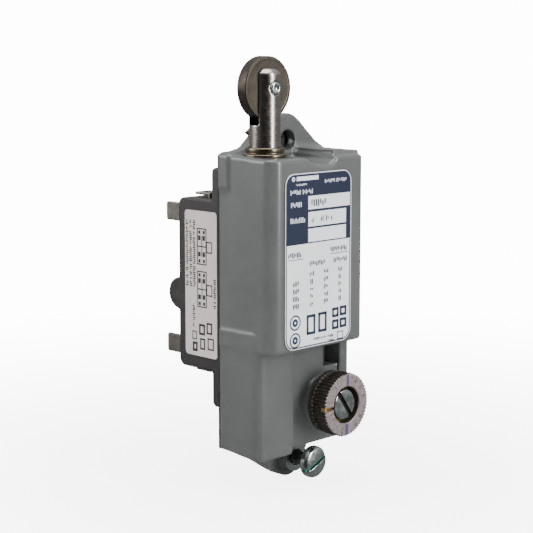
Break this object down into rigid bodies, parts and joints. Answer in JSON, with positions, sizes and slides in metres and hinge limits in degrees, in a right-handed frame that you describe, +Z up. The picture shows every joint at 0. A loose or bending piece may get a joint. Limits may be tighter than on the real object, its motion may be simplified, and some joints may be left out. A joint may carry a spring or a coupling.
{
  "type": "limit switch",
  "caption": "Heavy-duty roller-plunger limit switch with a grey cast head, a knurled trip dial and a moulded snap switch behind its gasket.",
  "frame": {"origin": "back face of the body gasket, midway between the two mounting holes", "axes": "+Z up along the push rod, +Y back into the panel, -Y towards the nameplate and the dial, +X towards the dial's side"},
  "size_m": [0.0558, 0.0774, 0.1784],
  "materials": {
    "cast_paint": "satin grey enamel over die-cast zinc",
    "gasket_rubber": "matt black rubber",
    "label_plate": "printed aluminium plate, satin",
    "bronze": "oiled sintered bronze",
    "hard_steel": "ground spring steel",
    "stainless": "polished stainless steel",
    "roller_steel": "brown oxide hardened steel",
    "zinc_plate": "bright zinc plate",
    "die_cast_zinc": "tarnished zinc die casting",
    "brass": "bright brass",
    "nylon": "natural nylon",
    "phenolic": "moulded black phenolic",
    "side_label": "printed paper label",
    "copper_alloy": "rolled copper alloy",
    "silver": "fine silver",
    "terminal_plate": "dull plated brass strip"
  },
  "bodies": {
    "head": {"housing": "cast_paint", "body_gasket": "gasket_rubber", "nameplate": "label_plate", "plunger_bushing": "bronze", "plunger_wiper": "gasket_rubber", "rod_key_pin": "hard_steel", "spring_seat": "zinc_plate", "rocker_axle": "hard_steel", "rocker_bracket": "zinc_plate", "bracket_screw": "zinc_plate", "index_ring": "die_cast_zinc", "adjuster_bushing": "bronze", "mounting_washer": "zinc_plate", "screw_retainer": "nylon", "switch_case": "phenolic", "switch_cover": "phenolic", "cover_screws": "zinc_plate", "switch_label": "side_label", "fixed_contacts": "silver", "terminal_front_top": "terminal_plate", "terminal_front_bottom": "terminal_plate", "terminal_rear_top": "terminal_plate", "terminal_rear_bottom": "terminal_plate", "flange_screws": "zinc_plate", "flange_lock_washers": "hard_steel"},
    "plunger": {"push_rod": "stainless", "roller_pin": "zinc_plate", "rod_stop_ring": "hard_steel", "return_spring": "hard_steel"},
    "roller": {"roller": "roller_steel"},
    "rocker": {"trip_rocker": "hard_steel", "lever_pin": "hard_steel"},
    "lever": {"operating_lever": "hard_steel"},
    "dial": {"adjusting_dial": "die_cast_zinc", "dial_key": "brass", "dial_lock_washer": "zinc_plate", "adjusting_spindle": "hard_steel", "spindle_seal": "gasket_rubber", "spindle_clip": "hard_steel"},
    "lock_screw": {"dial_lock_screw": "zinc_plate"},
    "nut": {"adjusting_nut": "brass"},
    "mount_screw": {"mounting_screw": "zinc_plate"},
    "button": {"switch_button": "phenolic", "button_spring": "hard_steel"},
    "bridge": {"contact_bridge": "copper_alloy", "moving_contacts": "silver"}
  },
  "joints": [
    {"name": "plunger_travel", "type": "slide", "parent": "head", "child": "plunger", "axis": [0, 0, -1], "range_m": [0, 0.005], "stiffness_N_per_m": 1500, "springref_m": -0.004, "deforming": ["return_spring"]},
    {"name": "roller_spin", "type": "hinge", "parent": "plunger", "child": "roller", "pos_m": [-0.02315, -0.0155, 0.0894], "axis": [0, 1, 0], "continuous": true},
    {"name": "rocker_tilt", "type": "hinge", "parent": "head", "child": "rocker", "pos_m": [-0.02315, -0.012, -0.014], "axis": [1, 0, 0], "range_deg": [0, 1.3]},
    {"name": "lever_swing", "type": "hinge", "parent": "rocker", "child": "lever", "pos_m": [-0.02315, -0.005, 0.0092], "axis": [1, 0, 0], "range_deg": [0, 26.1]},
    {"name": "button_travel", "type": "slide", "parent": "head", "child": "button", "axis": [0, 1, 0], "range_m": [0, 0.00295]},
    {"name": "bridge_travel", "type": "slide", "parent": "head", "child": "bridge", "axis": [0, 1, 0], "range_m": [0, 0.00205]},
    {"name": "dial_turn", "type": "hinge", "parent": "head", "child": "dial", "pos_m": [0.003, -0.0343, -0.0405], "axis": [0, 1, 0], "range_deg": [0, 330]},
    {"name": "nut_travel", "type": "slide", "parent": "head", "child": "nut", "axis": [0, 1, 0], "range_m": [0, 0.0006]},
    {"name": "lock_screw_turn", "type": "hinge", "parent": "dial", "child": "lock_screw", "pos_m": [0.003, -0.0353, -0.0405], "axis": [0, 1, 0], "range_deg": [-180, 0]},
    {"name": "mounting_screw_drive", "type": "slide", "parent": "head", "child": "mount_screw", "axis": [0, 1, 0], "range_m": [0, 0.0079]}
  ],
  "couplings": [
    {"joint": "lever_swing", "follows": "plunger_travel", "rad_per_m": 90.757},
    {"joint": "button_travel", "follows": "plunger_travel", "ratio": 0.584},
    {"joint": "bridge_travel", "follows": "plunger_travel", "ratio": 0.4},
    {"joint": "nut_travel", "follows": "dial_turn", "m_per_rad": 0.00010106},
    {"joint": "rocker_tilt", "follows": "dial_turn", "ratio": 0.003857}
  ]
}
